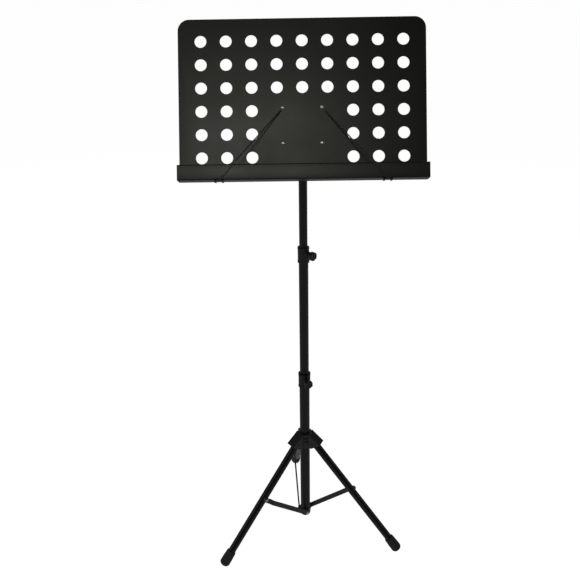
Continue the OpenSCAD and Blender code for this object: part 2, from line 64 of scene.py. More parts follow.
scene = bpy.context.scene
scene.view_settings.view_transform = "Standard"


def camera_axes(side, down, tilt):
    """The camera's right, up and backward directions from its three angles."""
    forward = Vector((math.sin(side) * math.cos(down), math.cos(side) * math.cos(down), -math.sin(down)))
    level_right = Vector((math.cos(side), -math.sin(side), 0.0))
    level_down = forward.cross(level_right)
    right = math.cos(tilt) * level_right + math.sin(tilt) * level_down
    below = -math.sin(tilt) * level_right + math.cos(tilt) * level_down
    return right, -below, -forward


right, up, backward = camera_axes(LOOK_SIDE, LOOK_DOWN, CAMERA_TILT)
camera_data = bpy.data.cameras.new("camera")
camera_data.lens = LENS
camera_data.sensor_width = SENSOR
camera_data.clip_end = 500.0
camera = bpy.data.objects.new("camera", camera_data)
scene.collection.objects.link(camera)
turn = Matrix((right, up, backward)).transposed().to_4x4()
camera.matrix_world = Matrix.Translation(CAMERA_AT) @ turn
scene.camera = camera


def add(tree, kind, inputs=None, **settings):
    """A node in a tree, with its settings and the values of its sockets."""
    made = tree.nodes.new(kind)
    for name, value in settings.items():
        setattr(made, name, value)
    for name, value in (inputs or {}).items():
        made.inputs[name].default_value = value
    return made


def glow(tree, seen, lit):
    """Background or floor light that is plain white where it is looked at and softer as a lamp."""
    path = add(tree, "ShaderNodeLightPath")
    level = add(tree, "ShaderNodeMapRange", {"To Min": lit, "To Max": seen})
    tree.links.new(path.outputs["Is Camera Ray"], level.inputs["Value"])
    return level.outputs["Result"]


world = bpy.data.worlds.new("studio")
world.use_nodes = True
scene.world = world
sky = world.node_tree.nodes["Background"]
sky.inputs["Color"].default_value = (1.0, 1.0, 1.0, 1.0)
world.node_tree.links.new(glow(world.node_tree, 1.0, 0.045), sky.inputs["Strength"])

floor_mesh = bpy.data.meshes.new("floor")
half = FLOOR_SIZE / 2
floor_mesh.from_pydata(
    [(x * half, y * half, -FLOOR_DROP) for x, y in ((-1, -1), (1, -1), (1, 1), (-1, 1))], [], [(0, 1, 2, 3)])
floor = bpy.data.objects.new("floor", floor_mesh)
scene.collection.objects.link(floor)
floor_paper = bpy.data.materials.new("floor_paper")
floor_paper.use_nodes = True
paper = floor_paper.node_tree.nodes["Principled BSDF"]
paper.inputs["Base Color"].default_value = (0.4, 0.4, 0.4, 1.0)
paper.inputs["Roughness"].default_value = 0.9
paper.inputs["Specular IOR Level"].default_value = 0.0
paper.inputs["Emission Color"].default_value = (1.0, 1.0, 1.0, 1.0)
floor_paper.node_tree.links.new(glow(floor_paper.node_tree, 0.97, 0.22), paper.inputs["Emission Strength"])
floor_mesh.materials.append(floor_paper)


def softbox(name, place, target, width, height, power, colour=(1.0, 1.0, 1.0)):
    """A rectangular studio lamp at a place, turned towards a target."""
    lamp = bpy.data.lights.new(name, "AREA")
    lamp.shape = "RECTANGLE"
    lamp.size = width
    lamp.size_y = height
    lamp.energy = power
    lamp.color = colour
    box = bpy.data.objects.new(name, lamp)
    scene.collection.objects.link(box)
    box.location = place
    box.rotation_euler = (Vector(target) - Vector(place)).to_track_quat("-Z", "Y").to_euler()


DESK_MIDDLE = (-0.04, -0.11, 1.02)
softbox("key_softbox", (-0.27, -1.90, 2.20), DESK_MIDDLE, 0.70, 0.30, 5.6, (0.99, 1.0, 0.86))
softbox("left_softbox", (-2.6, -0.9, 1.3), (0.0, -0.05, 0.6), 0.7, 2.0, 6.0, (0.96, 0.93, 1.0))
softbox("right_softbox", (2.8, -0.3, 1.2), (0.0, -0.05, 0.6), 0.6, 2.0, 3.5, (0.96, 0.93, 1.0))
softbox("back_softbox", (0.6, 2.6, 2.4), (0.0, 0.0, 0.8), 1.6, 1.2, 7.0)

# ---- Column ----
# Three drawn steel tubes that slide into one another, cut square and baked in a smooth
# semi-gloss black powder coat. Each carries a collar or bush that is pressed on later.


def new_group(name, inputs, outputs):
    """An empty shader group with named inputs and outputs."""
    tree = bpy.data.node_groups.new(name, "ShaderNodeTree")
    for label, kind, value in inputs:
        socket = tree.interface.new_socket(label, in_out="INPUT", socket_type="NodeSocket" + kind)
        if value is not None:
            socket.default_value = value
    for label, kind in outputs:
        tree.interface.new_socket(label, in_out="OUTPUT", socket_type="NodeSocket" + kind)
    return tree, tree.nodes.new("NodeGroupInput"), tree.nodes.new("NodeGroupOutput")


def chain(tree, kind, operation, *sockets):
    """A maths node whose inputs are sockets or numbers; its first output comes back."""
    made = add(tree, kind, operation=operation)
    for place, value in enumerate(sockets):
        if isinstance(value, (int, float, tuple)):
            made.inputs[place].default_value = value
        else:
            tree.links.new(value, made.inputs[place])
    return made.outputs[1] if operation == "DOT_PRODUCT" else made.outputs[0]


def maths(tree, operation, *sockets):
    return chain(tree, "ShaderNodeMath", operation, *sockets)


def ramp(tree, value, low, high, to_low=0.0, to_high=1.0):
    """Value mapped from low..high to to_low..to_high, held at both ends."""
    made = add(tree, "ShaderNodeMapRange")
    tree.links.new(value, made.inputs["Value"])
    for label, limit in (("From Min", low), ("From Max", high), ("To Min", to_low), ("To Max", to_high)):
        if isinstance(limit, (int, float)):
            made.inputs[label].default_value = limit
        else:
            tree.links.new(limit, made.inputs[label])
    return made.outputs["Result"]


def blend_colour(tree, share, first, second):
    made = add(tree, "ShaderNodeMix", data_type="RGBA")
    for place, value in ((0, share), (6, first), (7, second)):
        if isinstance(value, (int, float, tuple)):
            made.inputs[place].default_value = value
        else:
            tree.links.new(value, made.inputs[place])
    return made.outputs[2]


def noise(tree, vector, scale, detail=3.0, rough=0.55):
    made = add(tree, "ShaderNodeTexNoise", {"Detail": detail, "Roughness": rough})
    tree.links.new(vector, made.inputs["Vector"])
    if isinstance(scale, (int, float)):
        made.inputs["Scale"].default_value = scale
    else:
        tree.links.new(scale, made.inputs["Scale"])
    return made.outputs["Fac"]


# Skin of a baked coat or a moulding: cloudy tone and gloss, and a fine pebbled surface.
coat_skin, given, result = new_group(
    "coat_skin",
    [("Vector", "Vector", None), ("Grain", "Float", 900.0), ("Cloud", "Float", 14.0),
     ("Dark", "Color", None), ("Light", "Color", None),
     ("Rough Low", "Float", 0.35), ("Rough High", "Float", 0.45)],
    [("Color", "Color"), ("Roughness", "Float"), ("Height", "Float")])
cloud = noise(coat_skin, given.outputs["Vector"], given.outputs["Cloud"], 4.0)
pebble = noise(coat_skin, given.outputs["Vector"], given.outputs["Grain"], 2.0)
fleck_scale = maths(coat_skin, "MULTIPLY", given.outputs["Grain"], 2.7)
fleck = noise(coat_skin, given.outputs["Vector"], fleck_scale, 1.0)
tone = maths(coat_skin, "MULTIPLY_ADD", fleck, 0.35, maths(coat_skin, "MULTIPLY_ADD", cloud, 1.3, -0.3))
coat_skin.links.new(
    blend_colour(coat_skin, tone, given.outputs["Dark"], given.outputs["Light"]), result.inputs["Color"])
coat_skin.links.new(
    ramp(coat_skin, cloud, 0.3, 0.7, given.outputs["Rough Low"], given.outputs["Rough High"]),
    result.inputs["Roughness"])
coat_skin.links.new(maths(coat_skin, "MULTIPLY_ADD", fleck, 0.3, pebble), result.inputs["Height"])

# Eased edge: the rounding that paint or a mould leaves on an edge, and where it is rubbed.
eased_edge, given, result = new_group(
    "eased_edge",
    [("Vector", "Vector", None), ("Radius", "Float", 0.0004), ("Rub", "Float", 0.5)],
    [("Normal", "Vector"), ("Mask", "Float")])
rounding = add(eased_edge, "ShaderNodeBevel", samples=4)
eased_edge.links.new(given.outputs["Radius"], rounding.inputs["Radius"])
surface = add(eased_edge, "ShaderNodeNewGeometry")
straight = chain(
    eased_edge, "ShaderNodeVectorMath", "DOT_PRODUCT", rounding.outputs["Normal"], surface.outputs["Normal"])
corner = ramp(eased_edge, maths(eased_edge, "SUBTRACT", 1.0, straight), 0.02, 0.2)
patches = ramp(eased_edge, noise(eased_edge, given.outputs["Vector"], 160.0, 4.0, 0.7), 0.48, 0.68)
rubbed = maths(eased_edge, "MULTIPLY", maths(eased_edge, "MULTIPLY", corner, patches), given.outputs["Rub"])
eased_edge.links.new(rounding.outputs["Normal"], result.inputs["Normal"])
eased_edge.links.new(rubbed, result.inputs["Mask"])

# Handling marks: short fine hairlines that catch the light, thin on a new stand.
handling_marks, given, result = new_group(
    "handling_marks", [("Vector", "Vector", None), ("Amount", "Float", 0.3)], [("Mask", "Float")])
stretched = add(handling_marks, "ShaderNodeMapping", {"Scale": (40.0, 900.0, 70.0)})
stretched.inputs["Rotation"].default_value = (0.3, 0.5, 0.2)
handling_marks.links.new(given.outputs["Vector"], stretched.inputs["Vector"])
hairline = ramp(handling_marks, noise(handling_marks, stretched.outputs["Vector"], 1.0, 2.0), 0.66, 0.74)
worn_area = ramp(handling_marks, noise(handling_marks, given.outputs["Vector"], 9.0), 0.5, 0.7)
marks = maths(handling_marks, "MULTIPLY", hairline, worn_area)
handling_marks.links.new(
    maths(handling_marks, "MULTIPLY", marks, given.outputs["Amount"]), result.inputs["Mask"])

# Settled dust: a faint bloom on what faces up.
settled_dust, given, result = new_group(
    "settled_dust", [("Vector", "Vector", None), ("Amount", "Float", 0.1)], [("Mask", "Float")])
facing = add(settled_dust, "ShaderNodeSeparateXYZ")
settled_dust.links.new(
    add(settled_dust, "ShaderNodeNewGeometry").outputs["Normal"], facing.inputs["Vector"])
upward = ramp(settled_dust, facing.outputs["Z"], 0.45, 1.0)
specks = ramp(settled_dust, noise(settled_dust, given.outputs["Vector"], 420.0, 5.0, 0.75), 0.42, 0.75)
lying = maths(settled_dust, "MULTIPLY", upward, specks)
settled_dust.links.new(
    maths(settled_dust, "MULTIPLY", lying, given.outputs["Amount"]), result.inputs["Mask"])


def place_group(tree, group, values):
    """A copy of a group in a material's tree, with sockets linked or set."""
    made = add(tree, "ShaderNodeGroup", node_tree=group)
    for label, value in values.items():
        if isinstance(value, (int, float, tuple)):
            made.inputs[label].default_value = value
        else:
            tree.links.new(value, made.inputs[label])
    return made


def black_finish(name, dark, light, rough, grain, pebble_depth, edge, rub, gloss=0.5, cloud_size=14.0,
                 worn=(0.12, 0.12, 0.12, 1.0), marks_amount=0.25, dust=0.05):
    """A painted or moulded finish: skin, eased edges, rubbed edges, hairlines and dust."""
    made = bpy.data.materials.new(name)
    made.use_nodes = True
    tree = made.node_tree
    body = tree.nodes["Principled BSDF"]
    body.inputs["Specular IOR Level"].default_value = gloss
    where = add(tree, "ShaderNodeTexCoord").outputs["Object"]
    skin = place_group(tree, coat_skin, {
        "Vector": where, "Grain": grain, "Cloud": cloud_size, "Dark": (*dark, 1.0), "Light": (*light, 1.0),
        "Rough Low": rough[0], "Rough High": rough[1]})
    easing = place_group(tree, eased_edge, {"Vector": where, "Radius": edge, "Rub": rub})
    hairlines = place_group(tree, handling_marks, {"Vector": where, "Amount": marks_amount})
    bloom = place_group(tree, settled_dust, {"Vector": where, "Amount": dust})
    touched = maths(tree, "MAXIMUM", easing.outputs["Mask"], hairlines.outputs["Mask"])
    colour = blend_colour(tree, touched, skin.outputs["Color"], worn)
    colour = blend_colour(tree, bloom.outputs["Mask"], colour, (0.35, 0.34, 0.32, 1.0))
    tree.links.new(colour, body.inputs["Base Color"])
    duller = maths(tree, "MULTIPLY_ADD", bloom.outputs["Mask"], 0.6, skin.outputs["Roughness"])
    tree.links.new(duller, body.inputs["Roughness"])
    relief = add(tree, "ShaderNodeBump", {"Strength": 0.5, "Distance": pebble_depth})
    tree.links.new(skin.outputs["Height"], relief.inputs["Height"])
    tree.links.new(easing.outputs["Normal"], relief.inputs["Normal"])
    tree.links.new(relief.outputs["Normal"], body.inputs["Normal"])
    return made


def dress(material, slot, *names):
    """Gives CAD nodes a finish. The slot argument is not used."""
    for name in names:
        own = nodes[name].data.materials
        own.clear()
        own.append(material)


tube_coat = black_finish(
    "tube_coat", (0.0042, 0.0046, 0.0062), (0.007, 0.0078, 0.0104), (0.27, 0.36), 700.0, 0.00004,
    0.0005, 0.5, gloss=0.38, dust=0.03)
dress(tube_coat, "tube_paint", "upper_tube", "middle_tube", "lower_tube")

# ---- Guide bushes ----
# Turned from black acetal rod and pressed into the lower ends of the upper and middle tube,
# so that the tubes slide without rattling. The hub's liner is the same plastic.

guide_acetal = black_finish(
    "guide_acetal", (0.02, 0.02, 0.021), (0.032, 0.032, 0.033), (0.38, 0.48), 1500.0, 0.00002,
    0.0003, 0.2, worn=(0.06, 0.06, 0.06, 1.0))
dress(guide_acetal, "guide_plastic", "upper_guide", "middle_guide", "hub_liner")

# ---- Collars ----
# Two glass-filled nylon sleeves, moulded in black with a fine spark-eroded skin. Each is glued on
# the outer tube, guides the inner one, and carries a boss with a brass insert for its clamp.

collar_nylon = black_finish(
    "collar_nylon", (0.010, 0.010, 0.0105), (0.017, 0.017, 0.0175), (0.42, 0.52), 1300.0, 0.00007,
    0.0006, 0.35, gloss=0.4, worn=(0.07, 0.07, 0.07, 1.0))


SAME_POINT = 0.000004
FLAT_ANGLE = 0.4
SMOOTH_ANGLE = 28
EDGE_ANGLE = 30


def eased_piece(node, name, body, material, width):
    """A clean copy of a CAD node with its sharp edges rounded, which stands for the node."""
    source = nodes[node].data
    shape = bmesh.new()
    corners = [shape.verts.new(v.co) for v in source.vertices]
    for face in source.polygons:
        ring = [corners[i] for i in face.vertices]
        try:
            shape.faces.new(ring)
        except ValueError:
            pass
    bmesh.ops.remove_doubles(shape, verts=shape.verts, dist=SAME_POINT)
    bmesh.ops.dissolve_limit(
        shape, angle_limit=math.radians(FLAT_ANGLE), verts=shape.verts, edges=shape.edges,
        use_dissolve_boundaries=False)
    mesh = bpy.data.meshes.new(name)
    shape.to_mesh(mesh)
    shape.free()
    mesh.shade_smooth()
    mesh.set_sharp_from_angle(angle=math.radians(SMOOTH_ANGLE))
    piece = bpy.data.objects.new(name, mesh)
    scene.collection.objects.link(piece)
    easing = piece.modifiers.new("eased edges", "BEVEL")
    easing.width = width
    easing.segments = 2
    easing.limit_method = "ANGLE"
    easing.angle_limit = math.radians(EDGE_ANGLE)
    easing.harden_normals = False
    mesh.materials.append(material)
    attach(piece, body)
    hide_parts(node)
    return piece


dress(collar_nylon, "black_plastic", "upper_collar", "lower_collar")

# ---- Clamp screws ----
# In each boss a zinc-plated stud runs through a knurled brass insert and presses a nylon pad on
# the inner tube. The knob on its outer end is moulded round it with six finger lobes.


def metal_finish(name, tone, deep, rough, scratch_scale, edge=0.0003):
    """Bare or plated metal with turning lines, a cloudy tone and eased edges."""
    made = bpy.data.materials.new(name)
    made.use_nodes = True
    tree = made.node_tree
    body = tree.nodes["Principled BSDF"]
    body.inputs["Metallic"].default_value = 1.0
    where = add(tree, "ShaderNodeTexCoord").outputs["Object"]
    clouds = noise(tree, where, 180.0, 4.0, 0.6)
    lines = noise(tree, where, scratch_scale, 6.0, 0.8)
    patina = blend_colour(tree, ramp(tree, clouds, 0.35, 0.7), (*tone, 1.0), (*deep, 1.0))
    tree.links.new(patina, body.inputs["Base Color"])
    tree.links.new(ramp(tree, lines, 0.35, 0.65, rough[0], rough[1]), body.inputs["Roughness"])
    easing = place_group(tree, eased_edge, {"Vector": where, "Radius": edge, "Rub": 0.0})
    relief = add(tree, "ShaderNodeBump", {"Strength": 0.3, "Distance": 0.00002})
    tree.links.new(lines, relief.inputs["Height"])
    tree.links.new(easing.outputs["Normal"], relief.inputs["Normal"])
    tree.links.new(relief.outputs["Normal"], body.inputs["Normal"])
    return made


zinc_plate = metal_finish("zinc_plate", (0.72, 0.72, 0.70), (0.52, 0.53, 0.54), (0.22, 0.38), 2600.0)
insert_brass = metal_finish("insert_brass", (0.78, 0.57, 0.26), (0.55, 0.37, 0.14), (0.25, 0.42), 1800.0)
pad_nylon = black_finish(
    "pad_nylon", (0.60, 0.56, 0.44), (0.72, 0.69, 0.58), (0.4, 0.5), 1500.0, 0.00003, 0.0004, 0.2,
    worn=(0.5, 0.47, 0.38, 1.0))
dress(zinc_plate, "steel", "lower_stud", "upper_stud", "socket_stud")
dress(insert_brass, "brass", "lower_insert", "upper_insert", "socket_insert")
dress(pad_nylon, "washer_nylon", "lower_pad", "upper_pad", "socket_pad")

knob_plastic = black_finish(
    "knob_plastic", (0.0065, 0.0065, 0.0065), (0.012, 0.012, 0.012), (0.34, 0.44), 1500.0, 0.00006,
    0.0008, 0.3, gloss=0.45, worn=(0.05, 0.05, 0.05, 1.0))


def along(node, start, axis, reach=0.008):
    """The least and greatest distance along an axis from start to the part of a node beside it."""
    spans = []
    for vertex in nodes[node].data.vertices:
        offset = vertex.co - start
        distance = offset.dot(axis)
        if (offset - axis * distance).length < reach:
            spans.append(distance)
    return min(spans), max(spans)


def turned_frame(place, axis):
    """A matrix that carries +Z to axis and the origin to place."""
    return Matrix.Translation(place) @ axis.to_track_quat("Z", "Y").to_matrix().to_4x4()


LOBES = 6
# shares of the knob's radius and of its depth
LOBE_DEPTH = 0.08
BORE_DEPTH = 0.7


def finger_knob(name, node, turning, diameter, body, bore):
    """A knob with a narrow neck, six rounded lobes and a dished face, moulded on the stud."""
    start = Vector(joint[turning]["pos_m"])
    axis = Vector(joint[turning]["axis"]).normalized()
    low, high = along(node, start, axis, diameter)
    depth = high - low
    spokes = 16 * LOBES
    # share of the depth, share of the radius, share of the lobes' full depth
    outline = [(0.0, bore * 2 / diameter, 0.0), (0.0, 0.54, 0.0), (0.02, 0.58, 0.0), (0.10, 0.60, 0.0),
               (0.27, 0.62, 0.0), (0.31, 0.70, 0.2), (0.34, 0.84, 0.55), (0.37, 0.92, 0.8),
               (0.42, 0.975, 1.0), (0.50, 1.0, 1.0), (0.80, 1.0, 1.0), (0.90, 0.985, 1.0),
               (0.955, 0.95, 0.95), (0.985, 0.90, 0.85), (1.0, 0.83, 0.6), (1.0, 0.74, 0.3),
               (0.985, 0.68, 0.0), (0.955, 0.60, 0.0), (0.95, 0.45, 0.0), (0.95, 0.2, 0.0)]
    shape = bmesh.new()
    rings = []
    for height, radius, lobe in outline:
        ring = []
        for spoke in range(spokes):
            angle = 2 * math.pi * spoke / spokes
            dip = max(0.0, math.cos(LOBES * angle)) ** 1.6
            out = radius * diameter / 2 * (1.0 - LOBE_DEPTH * lobe * dip)
            ring.append(shape.verts.new(
                (out * math.cos(angle), out * math.sin(angle), low + height * depth)))
        rings.append(ring)
    for inner, outer in zip(rings, rings[1:]):
        for spoke in range(spokes):
            after = (spoke + 1) % spokes
            shape.faces.new((inner[spoke], inner[after], outer[after], outer[spoke]))
    shape.faces.new(rings[-1])
    blind = [shape.verts.new((v.co.x, v.co.y, low + BORE_DEPTH * depth)) for v in rings[0]]
    for spoke in range(spokes):
        after = (spoke + 1) % spokes
        shape.faces.new((rings[0][after], rings[0][spoke], blind[spoke], blind[after]))
    shape.faces.new(list(reversed(blind)))
    bmesh.ops.recalc_face_normals(shape, faces=shape.faces)
    shape.transform(turned_frame(start, axis))
    mesh = bpy.data.meshes.new(name)
    shape.to_mesh(mesh)
    shape.free()
    mesh.shade_smooth()
    mesh.set_sharp_from_angle(angle=math.radians(50))
    mesh.materials.append(knob_plastic)
    knob = bpy.data.objects.new(name, mesh)
    scene.collection.objects.link(knob)
    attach(knob, body)
    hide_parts(node)


CLAMP_KNOB = 0.020
STUD_BORE = 0.0031
finger_knob("lower_clamp_knob", "lower_knob", "lower_knob_turn", CLAMP_KNOB, "lower_clamp", STUD_BORE)
finger_knob("upper_clamp_knob", "upper_knob", "upper_knob_turn", CLAMP_KNOB, "upper_clamp", STUD_BORE)
finger_knob("socket_clamp_knob", "socket_knob", "socket_knob_turn", CLAMP_KNOB, "socket_clamp", STUD_BORE)

# ---- Bottom bracket ----
# A short pressed-steel sleeve at the foot of the column with three lugs, where the braces pivot.
# A moulded plug closes the tube below it.

strip_coat = black_finish(
    "strip_coat", (0.024, 0.023, 0.025), (0.036, 0.035, 0.038), (0.36, 0.46), 800.0, 0.00005,
    0.0004, 0.6, gloss=0.5, worn=(0.2, 0.2, 0.2, 1.0), marks_amount=0.4)
moulded_black = black_finish(
    "moulded_black", (0.019, 0.018, 0.022), (0.028, 0.027, 0.032), (0.36, 0.46), 1200.0, 0.00006,
    0.0006, 0.35, gloss=0.5, worn=(0.08, 0.08, 0.08, 1.0))
dress(strip_coat, "strip_paint", "bottom_bracket")
dress(moulded_black, "black_plastic", "end_plug", "leg_plug_left", "leg_plug_right", "leg_plug_rear")

# ---- Hub ----
# One spider moulded in black nylon: a sleeve with two stiffening rings round the column and three
# channel arms that hold the legs. Its edges are all eased, as the mould leaves them.

eased_piece("hub", "hub_spider", "hub", moulded_black, 0.0004)

# ---- Legs ----
# Three straight lengths of the same coated tube. A plug stiffens the upper end, where a pin goes
# through leg and hub, and a steel spacer on the side holds the brace clear of the tube.

leg_coat = black_finish(
    "leg_coat", (0.0045, 0.005, 0.0058), (0.0075, 0.008, 0.009), (0.25, 0.34), 700.0, 0.00004,
    0.0005, 0.5, gloss=0.42, dust=0.03)
dress(leg_coat, "tube_paint", "leg_left", "leg_right", "leg_rear")
dress(zinc_plate, "steel", "spacer_left", "spacer_right", "spacer_rear")

# ---- Feet ----
# Moulded rubber boots pushed over the legs. Their barrels swell towards a round nose with a small
# flat that stands on the floor. The rubber is matt and a little bloomed.

foot_rubber = black_finish(
    "foot_rubber", (0.034, 0.033, 0.036), (0.050, 0.048, 0.052), (0.62, 0.78), 600.0, 0.00008,
    0.0008, 0.4, gloss=0.35, worn=(0.07, 0.07, 0.068, 1.0), marks_amount=0.1, dust=0.12)
dress(foot_rubber, "foot_rubber", "foot_left", "foot_right", "foot_rear")

# ---- Braces ----
# Flat steel strips with rounded ends, set over beside the leg so that they lie flat on both
# the bracket and the spacer, and coated in satin black.

SIDES = ("left", "right", "rear")
for side in SIDES:
    dress(strip_coat, "strip_paint", "brace_" + side)

# ---- Rivets and leg pins ----
# Round-headed zinc-plated rivets join the braces to the bracket and the legs, and longer blackened
# ones are the pins of the legs in the hub. Each head is domed over its shank.


def lathe(outline, segments=32):
    """A closed turned mesh from (radius, height) pairs that start and end on the axis."""
    shape = bmesh.new()
    rings = []
    for radius, height in outline:
        if radius < 1e-9:
            rings.append([shape.verts.new((0.0, 0.0, height))])
            continue
        rings.append([
            shape.verts.new((radius * math.cos(2 * math.pi * k / segments),
                             radius * math.sin(2 * math.pi * k / segments), height))
            for k in range(segments)])
    for first, second in zip(rings, rings[1:]):
        for k in range(segments):
            after = (k + 1) % segments
            corners = [first[k % len(first)], first[after % len(first)],
                       second[after % len(second)], second[k % len(second)]]
            corners = list(dict.fromkeys(corners))
            shape.faces.new(corners)
    bmesh.ops.recalc_face_normals(shape, faces=shape.faces)
    return shape


def kept_mesh(shape, name, angle=35):
    mesh = bpy.data.meshes.new(name)
    shape.to_mesh(mesh)
    shape.free()
    mesh.shade_smooth()
    mesh.set_sharp_from_angle(angle=math.radians(angle))
    return mesh


def new_tree(name, inputs):
    """An empty geometry tree with a geometry input, named inputs and a geometry output."""
    tree = bpy.data.node_groups.new(name, "GeometryNodeTree")
    tree.interface.new_socket("Geometry", in_out="INPUT", socket_type="NodeSocketGeometry")
    tree.interface.new_socket("Geometry", in_out="OUTPUT", socket_type="NodeSocketGeometry")
    for label, kind in inputs:
        tree.interface.new_socket(label, in_out="INPUT", socket_type="NodeSocket" + kind)
    return tree, tree.nodes.new("NodeGroupInput"), tree.nodes.new("NodeGroupOutput")


def grow(name, base, tree, values):
    """Runs a geometry tree on a base mesh and returns the plain mesh object it makes."""
    seed = bpy.data.objects.new(name + "_seed", base)
    scene.collection.objects.link(seed)
    step = seed.modifiers.new(tree.name, "NODES")
    step.node_group = tree
    for socket in tree.interface.items_tree:
        if socket.in_out == "INPUT" and socket.name in values:
            step[socket.identifier] = values[socket.name]
    bpy.context.view_layer.update()
    depsgraph = bpy.context.evaluated_depsgraph_get()
    mesh = bpy.data.meshes.new_from_object(seed.evaluated_get(depsgraph), depsgraph=depsgraph)
    mesh.name = name
    bpy.data.objects.remove(seed)
    piece = bpy.data.objects.new(name, mesh)
    scene.collection.objects.link(piece)
    return piece


# Sets one fastener on each point of the base mesh, its head along the point's own direction.
fastener_row, given, result = new_tree(
    "fastener_row", [("Fastener", "Object"), ("Turn", "Float"), ("Seed", "Int"), ("Material", "Material")])
part = add(fastener_row, "GeometryNodeObjectInfo", transform_space="ORIGINAL")
heading = add(
    fastener_row, "GeometryNodeInputNamedAttribute", {"Name": "direction"}, data_type="FLOAT_VECTOR")
aim = add(fastener_row, "FunctionNodeAlignRotationToVector", axis="Z")
any_turn = add(fastener_row, "FunctionNodeRandomValue", data_type="FLOAT")
spin = add(fastener_row, "FunctionNodeAxisAngleToRotation", {"Axis": (0.0, 0.0, 1.0)})
both = add(fastener_row, "FunctionNodeRotateRotation", rotation_space="LOCAL")
setting = add(fastener_row, "GeometryNodeInstanceOnPoints")
solid = add(fastener_row, "GeometryNodeRealizeInstances")
coat = add(fastener_row, "GeometryNodeSetMaterial")
fastener_row.links.new(given.outputs["Fastener"], part.inputs["Object"])
fastener_row.links.new(heading.outputs["Attribute"], aim.inputs["Vector"])
fastener_row.links.new(given.outputs["Turn"], any_turn.inputs[3])
fastener_row.links.new(given.outputs["Seed"], any_turn.inputs["Seed"])
fastener_row.links.new(any_turn.outputs[1], spin.inputs["Angle"])
fastener_row.links.new(aim.outputs["Rotation"], both.inputs["Rotation"])
fastener_row.links.new(spin.outputs["Rotation"], both.inputs["Rotate By"])
fastener_row.links.new(given.outputs["Geometry"], setting.inputs["Points"])
fastener_row.links.new(part.outputs["Geometry"], setting.inputs["Instance"])
fastener_row.links.new(both.outputs["Rotation"], setting.inputs["Rotation"])
fastener_row.links.new(setting.outputs["Instances"], solid.inputs["Geometry"])
fastener_row.links.new(solid.outputs["Geometry"], coat.inputs["Geometry"])
fastener_row.links.new(given.outputs["Material"], coat.inputs["Material"])
fastener_row.links.new(coat.outputs["Geometry"], result.inputs["Geometry"])


def set_fasteners(name, fastener, places, body, material, replaced, seed=1, turn=math.pi):
    """One piece that holds a fastener at each (place, direction), riding on a body."""
    base = bpy.data.meshes.new(name + "_places")
    base.from_pydata([place for place, _ in places], [], [])
    headings = base.attributes.new("direction", "FLOAT_VECTOR", "POINT")
    for index, (_, direction) in enumerate(places):
        headings.data[index].vector = direction
    piece = grow(name, base, fastener_row, {
        "Fastener": fastener, "Turn": turn, "Seed": seed, "Material": material})
    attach(piece, body)
    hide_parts(*replaced)
    return piece


def spare(name, mesh):
    """A fastener that is only ever placed by a tree, and isn't shown itself."""
    return bpy.data.objects.new(name, mesh)


def round_head(radius, height, shank, length):
    """Outline of a rivet whose head is a low dome, seat at zero and head upwards."""
    ball = (radius * radius + height * height) / (2 * height)
    rim = height * 0.16
    arc = [(0.0, -length), (shank * 0.9, -length), (shank, -length + shank * 0.1), (shank, 0.0),
           (radius * 0.97, 0.0), (radius, rim * 0.4), (radius * 0.985, rim)]
    for step in range(1, 8):
        out = radius * 0.985 * (1 - step / 8)
        arc.append((out, height - ball + math.sqrt(ball * ball - out * out)))
    arc.append((0.0, height))
    return arc


RIVET_HEAD = 0.0042
RIVET_RISE = 0.0018
RIVET_SHANK = 0.00235
PIN_HEAD = 0.0045
PIN_RISE = 0.0016
PIN_SHANK = 0.0029
# how far the bracket's rivets stop short of the tube
TUBE_CLEAR = 0.0005

for side in SIDES:
    axis = -Vector(joint["brace_fold_" + side]["axis"]).normalized()
    low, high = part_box("brace_rivet_" + side)
    middle = (low + high) / 2
    tail, tip = along("brace_rivet_" + side, middle, axis)
    length = tip - tail - RIVET_RISE
    rivet = spare("leg_rivet_" + side, kept_mesh(
        lathe(round_head(RIVET_HEAD, RIVET_RISE, RIVET_SHANK, length)), "leg_rivet_" + side))
    set_fasteners(
        "brace_end_rivet_" + side, rivet, [(middle + axis * (tip - RIVET_RISE), axis)], "brace_" + side,
        zinc_plate, ["brace_rivet_" + side], seed=4)

seats = []
for side in SIDES:
    axis = -Vector(joint["brace_fold_" + side]["axis"]).normalized()
    start = Vector(joint["brace_fold_" + side]["pos_m"])
    tail, tip = along("bracket_rivets", start, axis, 0.006)
    length = tip - tail - RIVET_RISE
    seats.append((start + axis * (tip - RIVET_RISE), axis))
bracket_rivet = spare("bracket_rivet", kept_mesh(
    lathe(round_head(RIVET_HEAD, RIVET_RISE, RIVET_SHANK, length - TUBE_CLEAR)), "bracket_rivet"))
set_fasteners(
    "bracket_rivet_row", bracket_rivet, seats, "base", zinc_plate, ["bracket_rivets"], seed=6)

heads = []
for side in SIDES:
    axis = Vector(joint["leg_fold_" + side]["axis"]).normalized()
    start = Vector(joint["leg_fold_" + side]["pos_m"])
    tail, tip = along("leg_pins", start, axis, 0.006)
    for direction, end in ((axis, tip), (-axis, -tail)):
        heads.append((start + direction * (end - PIN_RISE), direction))
half_pin = tip - PIN_RISE
pin_half = spare("leg_pin_half", kept_mesh(
    lathe(round_head(PIN_HEAD, PIN_RISE, PIN_SHANK, half_pin)), "leg_pin_half"))
set_fasteners("leg_pin_row", pin_half, heads, "hub", strip_coat, ["leg_pins"], seed=8)

# ---- Tilt head ----
# A nylon casting that drops over the upper tube and is held by a third clamp screw. A bolt with a
# moulded knob squeezes the desk's two ears on its nylon washers, and sets the slope.

